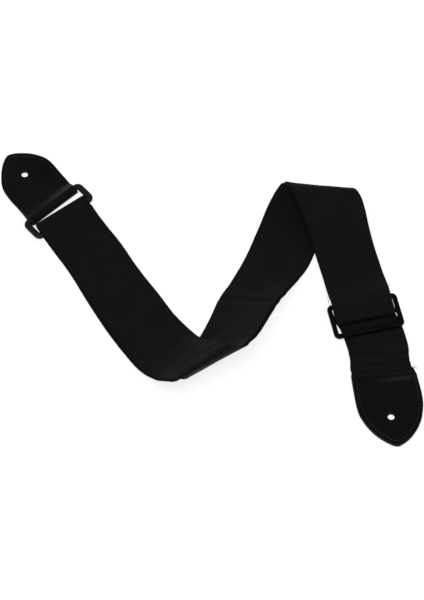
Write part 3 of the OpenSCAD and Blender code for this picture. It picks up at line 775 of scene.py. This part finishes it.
def leather(name, outline, holes, place, seams, thick=LEATHER_T, gap=1.45):
    """outline and holes in the flat (t, y) plane; place(t, y, h) gives the point at height h from the middle."""
    polys = [outline] + holes
    rings = []
    for poly, sign in [(outline, 1)] + [(h, 1) for h in holes]:
        pts = resample(np.concatenate([poly, poly[:1]]), 0.9 if poly is outline else 0.7)[:-1] if poly is outline else poly
        for off in (0.16, 0.4, 0.8, 1.4, 2.2, 2.85, 3.1, 3.3, 3.5, 3.75) if poly is outline else (0.16, 0.45, 0.95):
            d = np.roll(pts, -1, 0) - np.roll(pts, 1, 0)
            d /= np.maximum(np.linalg.norm(d, axis=1), 1e-9)[:, None]
            nrm = np.stack([-d[:, 1], d[:, 0]], 1)
            for sgn in (1, -1):
                q = pts + nrm * off * sgn
                good = edge_distance(polys, q) > off * 0.93
                rings.append(q[good])
        if poly is outline:
            outline = pts
    polys = [outline] + holes
    lo, hi = outline.min(0), outline.max(0)
    grid = np.stack(np.meshgrid(np.arange(lo[0], hi[0], gap), np.arange(lo[1], hi[1], gap), indexing="ij"), -1).reshape(-1, 2)
    grid[:, 1] += 0.5 * gap * ((np.round((grid[:, 0] - lo[0]) / gap) % 2))
    e = edge_distance(polys, grid)
    rings.append(grid[(e > 4.4) | ((e > 1.4) & (e < 1.9))])
    q = np.concatenate(rings)
    q = q[inside(outline, q)]
    for h in holes:
        q = q[~inside(h, q)]
    verts = [tuple(x) for x in np.concatenate(polys)]
    edges, base = [], 0
    for poly in polys:
        edges += [(base + i, base + (i + 1) % len(poly)) for i in range(len(poly))]
        base += len(poly)
    verts += [tuple(x) for x in q]
    out = delaunay_2d_cdt([Vector(x) for x in verts], edges, [], 0, 1e-5)
    P = np.array([tuple(x) for x in out[0]])
    tri = np.array([list(x) for x in out[2]])
    mid = P[tri].mean(1)
    ok = inside(outline, mid)
    for h in holes:
        ok &= ~inside(h, mid)
    tri = tri[ok]
    used = np.unique(tri)
    remap = -np.ones(len(P), int)
    remap[used] = np.arange(len(used))
    P, tri = P[used], remap[tri]
    a = P[tri]
    turn = np.cross(a[:, 1] - a[:, 0], a[:, 2] - a[:, 0])
    tri[turn < 0] = tri[turn < 0][:, ::-1]
    d = edge_distance(polys, P)
    r = 0.75
    h = thick / 2 * (0.42 + 0.58 * np.sqrt(np.clip(1 - (1 - np.minimum(d, r) / r) ** 2, 0, 1)))
    cut = 0.26 * seams(P, d)
    n = len(P)
    top, bottom = place(P[:, 0], P[:, 1], h - cut), place(P[:, 0], P[:, 1], -h + cut)
    faces = tri.tolist() + (tri[:, ::-1] + n).tolist()
    count = {}
    for t_ in tri:
        for i in range(3):
            count[(t_[i], t_[(i + 1) % 3])] = 1
    for (i, j) in list(count):
        if (j, i) not in count:
            faces.append([j, i, i + n, j + n])
    area = abs(np.cross(a[:, 1] - a[:, 0], a[:, 2] - a[:, 0])).sum() / 2
    o = new_object(name, np.concatenate([top, bottom]), faces, [LEATHER], {"edge": np.concatenate([d, d])})
    return o, area


RING_LEFT = [[0, 24.7], [9, 23.7], [17.4, 22.9], [29.7, 22.3], [39.3, 20.6], [45.7, 17.8], [52.6, 12.4], [58.4, 6.5], [62.3, 0.8]]
RING_RIGHT = [[61.8, -10.3], [56.7, -16.6], [51.5, -21.3], [44.8, -25.3], [39.3, -27.3], [33, -27.8], [23, -27], [12, -26], [5, -25], [0, -24.7]]
ring_line = smooth(RING_LEFT + [[64.2, -4.5]] + RING_RIGHT, 4)
LOOP_R = RING_BAR / 2 + 0.4 + LEATHER_T / 2
LOW_Z = RING_AT[2] - LOOP_R
HIGH_Z = LOW_Z + LEATHER_T + 0.1
fold = np.concatenate([[[66, LOW_Z], [30, LOW_Z], [12, LOW_Z], [4, LOW_Z]],
                       [[-1 + LOOP_R * math.cos(a), RING_AT[2] + LOOP_R * math.sin(a)] for a in np.radians(np.arange(-90, -271, -6))],
                       smooth([[0.4, 7.55], [1.4, 7.22], [2.4, 6.57], [3.4, 5.72], [4.4, 4.87], [5.6, 4.15], [7.2, 3.65], [9.5, 3.3], [13, 2.95], [19, 2.45], [24, HIGH_Z]], 3),
                       [[30, HIGH_Z], [66, HIGH_Z]]])
fold_s = lengths(fold)
fold_t = tangents(fold)
fold_n = np.stack([fold_t[:, 1], -fold_t[:, 0]], 1)
# on the lower ply this normal points down, round the loop outwards, and on the upper ply up: turn it if it doesn't
if fold_n[1, 1] > 0:
    fold_n = -fold_n
loop_end = 4 + 31 - 1
T_TOP = lambda x: np.interp(x, fold[loop_end:, 0], fold_s[loop_end:])
T_LOW = lambda x: 66 - x


def place_ring_leather(t, y, h):
    x = np.interp(t, fold_s, fold[:, 0])
    z = np.interp(t, fold_s, fold[:, 1])
    nx = np.interp(t, fold_s, fold_n[:, 0])
    nz = np.interp(t, fold_s, fold_n[:, 1])
    k = np.hypot(nx, nz)
    dip = -0.34 * np.exp(-((x - 4.3) / 1.4) ** 2) * step((8 - y) / 24) * (t > fold_s[loop_end])
    q = in_ring(np.stack([RING_PITCH + x + h * nx / k, y, z + h * nz / k - dip], 1))
    q[:, 2] = np.maximum(q[:, 2], 0.0)
    return q


half_low = np.stack([T_LOW(ring_line[:, 0]), ring_line[:, 1]], 1)       # left side, tip, right side on the lower ply
half_top = np.stack([T_TOP(ring_line[:, 0]), ring_line[:, 1]], 1)
mid_t = np.linspace(half_low[0, 0] + 0.8, half_top[0, 0] - 0.8, 24)
outline = np.concatenate([half_low[::-1], np.stack([mid_t, np.full(24, 24.7)], 1), half_top, np.stack([mid_t[::-1], np.full(24, -24.7)], 1)])
hole_top = button_hole(T_TOP(39.9), -3.1, -1)
hole_low = button_hole(T_LOW(39.9), -3.1, 1)
CROSS_T = (T_TOP(19.6), T_LOW(19.6))


def groove(x, width=0.42):
    return np.exp(-(x / width) ** 2)


def ring_seams(P, d):
    edge_line = groove(d - INSET) * (((P[:, 0] > T_TOP(20)) | (P[:, 0] < T_LOW(20))).astype(float))
    cross_line = np.maximum(groove(P[:, 0] - CROSS_T[0]), groove(P[:, 0] - CROSS_T[1])) * ((P[:, 1] < 18.5) & (P[:, 1] > -22.5))
    return np.maximum(edge_line, cross_line)


ring_leather, ring_area = leather("ring_tab_leather_hide", outline, [hole_top, hole_low], place_ring_leather, ring_seams)
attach(ring_leather, "ring_tab")
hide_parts("ring_tab_leather")
size = outline.max(0) - outline.min(0)

END_LEFT = [[0.2, -25.6], [11, -25.8], [26, -25.7], [35.3, -24.9], [42, -22.9], [49.5, -19.4], [56.4, -14.8], [62.8, -8.6], [67.4, -2.5]]
END_RIGHT = [[68.1, 6], [63.7, 13], [56.8, 19.5], [50.2, 23.7], [44.2, 26.3], [34, 28.7], [25, 29.1], [17, 28.6], [8.7, 27.8], [0.2, 26]]
end_line = smooth(END_LEFT + [[69.2, 1.9]] + END_RIGHT, 4)
front = np.concatenate([[[0.2, 3.7], [6, 3.7]], smooth([[10, 3.7], [16, 3.35], [25, 2.75], [35, 2.35]], 6), [[48, 2.35], [72, 2.35]]])


def place_front(t, y, h):
    z = np.interp(t, front[:, 0], front[:, 1])
    slope = (np.interp(t + 0.3, front[:, 0], front[:, 1]) - np.interp(t - 0.3, front[:, 0], front[:, 1])) / 0.6
    k = np.sqrt(1 + slope ** 2)
    hump = 1.5 * np.exp(-((t - 7.4) / 2.5) ** 2) * step((y + 15) / 30)
    return in_end(np.stack([t - h * slope / k, y, z + hump * (h > 0) + h / k], 1))


def place_back(t, y, h):
    return in_end(np.stack([t, y, np.maximum(0.0, 0.75 + h)], 1))


def end_seams(P, d):
    return np.maximum(groove(d - INSET) * (P[:, 0] > 3.2), groove(P[:, 0] - 3.2) * ((P[:, 1] < 23) & (P[:, 1] > -22.5)))


end_hole = button_hole(42.5, 0.8, -1)
size = end_line.max(0) - end_line.min(0)
for name, placer, node in (("end_tab_front_hide", place_front, "end_tab_front_ply"), ("end_tab_back_hide", place_back, "end_tab_back_ply")):
    o, area = leather(name, end_line, [end_hole], placer, end_seams)
    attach(o, "end_tab")
    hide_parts(node)


# ------------------------------------------------------------------ stitches and loose threads
class Threads:
    def __init__(self):
        self.v, self.f, self.a, self.n = [], [], [], 0

    def tube(self, path, radius, sides=9, twist=1.9):
        """A two-ply thread along a path of points, closed at both ends."""
        d = tangents(path)
        s = lengths(path)
        ref = np.array([0.3, 0.2, 0.93])
        side = np.cross(d, ref)
        side /= np.linalg.norm(side, axis=1)[:, None]
        up = np.cross(side, d)
        a = np.arange(sides) * 2 * math.pi / sides
        m = len(path)
        end = np.sqrt(np.clip(1 - (2 * np.arange(m) / (m - 1) - 1) ** 8, 0.12, 1))
        for i in range(m):
            r = radius * end[i] * (1 + 0.16 * np.cos(2 * a - s[i] * twist * 2 * math.pi / 2.4))
            self.v.append(path[i] + np.outer(r * np.cos(a), side[i]) + np.outer(r * np.sin(a), up[i]))
            self.a.append(np.stack([np.full(sides, s[i]), a, np.full(sides, float(self.n % 7))], 1))
        idx = np.arange(m * sides).reshape(m, sides) + self.n
        for i in range(m - 1):
            for j in range(sides):
                self.f.append([idx[i, j], idx[i, (j + 1) % sides], idx[i + 1, (j + 1) % sides], idx[i + 1, j]])
        self.f.append(idx[0][::-1].tolist())
        self.f.append(idx[-1].tolist())
        self.n += m * sides

    def stitch(self, a, b, normal, radius=THREAD / 2, proud=0.12):
        """One stitch between two points on a surface, its ends sinking into their holes."""
        k = np.linspace(0, 1, 13)
        e = 0.5 + (k - 0.5) * 0.72
        path = a + np.outer(e, b - a) + np.outer(proud - 0.62 * abs(2 * k - 1) ** 5, normal)
        self.tube(path, radius)

    def make(self, name, body, nodes, material=None):
        v = np.concatenate(self.v)
        v[:, 2] = np.maximum(v[:, 2], 0.01)
        o = new_object(name, v, self.f, [material or THREAD_MAT_PAINTED_GLINT], {"strip": np.concatenate(self.a)})
        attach(o, body)
        if nodes:
            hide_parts(*nodes)
        return o


def inset_line(p, d):
    t = tangents(p)
    return p - np.stack([-t[:, 1], t[:, 0]], 1) * d


def spaced(p, pitch):
    s = lengths(p)
    n = int(s[-1] // pitch)
    q = np.linspace(0, s[-1], n + 1)
    return np.stack([np.interp(q, s, p[:, 0]), np.interp(q, s, p[:, 1])], 1)


# ring tab: both faces
line = inset_line(ring_line, INSET)
line = spaced(line[line[:, 0] > 20], PITCH)
cross_line = spaced(np.array([[19.6, 17], [19.6, -21.0]]), PITCH)
for name, pts, node in (("ring_tab_edge_thread", line, "ring_tab_edge_stitches"), ("ring_tab_cross_thread", cross_line, "ring_tab_cross_stitches")):
    th = Threads()
    for z, nz in ((HIGH_Z + LEATHER_T / 2 - 0.16, 1), (LOW_Z - LEATHER_T / 2 + 0.34, -1)):
        q = in_ring(np.column_stack([pts[:, 0] + RING_PITCH, pts[:, 1], np.full(len(pts), z)]))
        for a, b in zip(q[:-1], q[1:]):
            th.stitch(a, b, np.array([0, 0, nz], float), proud=0.14 if nz > 0 else 0.0)
    th.make(name, "ring_tab", [node], THREAD_DARK if "cross" in name else THREAD_MAT_PAINTED_GLINT)

# end tab: both faces
line = inset_line(end_line[::-1], INSET)
line = spaced(line[line[:, 0] > 3.2], PITCH)
cross_line = spaced(np.array([[3.2, -21.5], [3.2, 22.0]]), PITCH)
for name, pts, node in (("end_tab_edge_thread", line, "end_tab_edge_stitches"), ("end_tab_cross_thread", cross_line, "end_tab_cross_stitches")):
    th = Threads()
    top = place_front(pts[:, 0], pts[:, 1], np.full(len(pts), LEATHER_T / 2 - 0.16))
    low = place_back(pts[:, 0], pts[:, 1], np.full(len(pts), -LEATHER_T / 2 + 0.34))
    for q, nz in ((top, 1), (low, -1)):
        for a, b in zip(q[:-1], q[1:]):
            th.stitch(a, b, np.array([0, 0, nz], float), proud=0.14 if nz > 0 else 0.0)
    th.make(name, "end_tab", [node], THREAD_DARK if "cross" in name else THREAD_MAT_PAINTED_GLINT)

# the seam that closes the loop over the adjuster's centre bar
th = Threads()
pts = spaced(np.array([[0, 23.0], [0, -23.0]]), 3)
g = math.radians(-29)
for h, sign in ((1.18, 1), (-0.98, -1)):
    q = np.column_stack([-21.4 + pts[:, 0] * math.cos(g) + h * math.sin(g), pts[:, 1], 7.4 - pts[:, 0] * math.sin(g) + h * math.cos(g)])
    w = in_slider(q)
    normal = (SX * math.sin(g) + Z * math.cos(g)) * sign
    for a, b in zip(w[:-1], w[1:]):
        th.stitch(a, b, normal, 0.24, 0.04)
th.make("loop_seam_thread", "slider", ["loop_seam_stitches"], THREAD_DARK)


# loose ends where the seams finish
def loose(points, curl=0.0):
    return smooth(np.array(points, float), 5)


th = Threads()
for pts in ([[-21.9, -22.6, 8.75], [-21.9, -24.6, 8.9], [-20.6, -26.2, 8.4], [-18.2, -27.0, 7.6], [-15.6, -27.3, 6.7]],
            [[-21.6, -22.9, 8.8], [-22.6, -24.9, 8.6], [-23.4, -26.3, 7.7], [-22.2, -27.6, 6.7]],
            [[-21.9, 22.7, 8.75], [-22.6, 24.7, 8.9], [-23.8, 26.2, 8.2], [-25.4, 26.9, 7.2]],
            [[-21.6, 22.5, 8.8], [-20.9, 24.8, 9.0], [-21.6, 26.5, 8.4]]):
    th.tube(in_slider(loose(pts)), 0.17, 7)
th.make("seam_thread_ends", "slider", [])
th = Threads()
for pts in ([[3.2, 22.2, 4.5], [1.2, 24.2, 4.9], [-0.4, 26.6, 4.6], [-0.6, 28.9, 3.9]], [[3.3, 22.0, 4.5], [2.6, 24.6, 5.0], [1.2, 27.2, 4.7], [1.8, 29.6, 4.0]]):
    th.tube(in_end(loose(pts)), 0.17, 7)
th.make("end_tab_thread_ends", "end_tab", [])

# the frayed cut end of the tail: short filaments along the cut edge
th = Threads()
rng = np.random.default_rng(11)
for i in range(46):
    y = -24.4 + i * 48.8 / 45 + rng.uniform(-0.3, 0.3)
    l = rng.uniform(0.5, 1.5)
    z = 2.8 + rng.uniform(-0.35, 0.35)
    th.tube(in_slider(np.array([[-32.4, y, z], [-33.0, y + rng.uniform(-0.15, 0.15), z], [-33.2 - l, y + rng.uniform(-0.5, 0.5), max(0.5, z + rng.uniform(-0.2, 0.25))]])), 0.1, 5)
th.make("tail_frayed_end", "slider", [], THREAD_DARK)
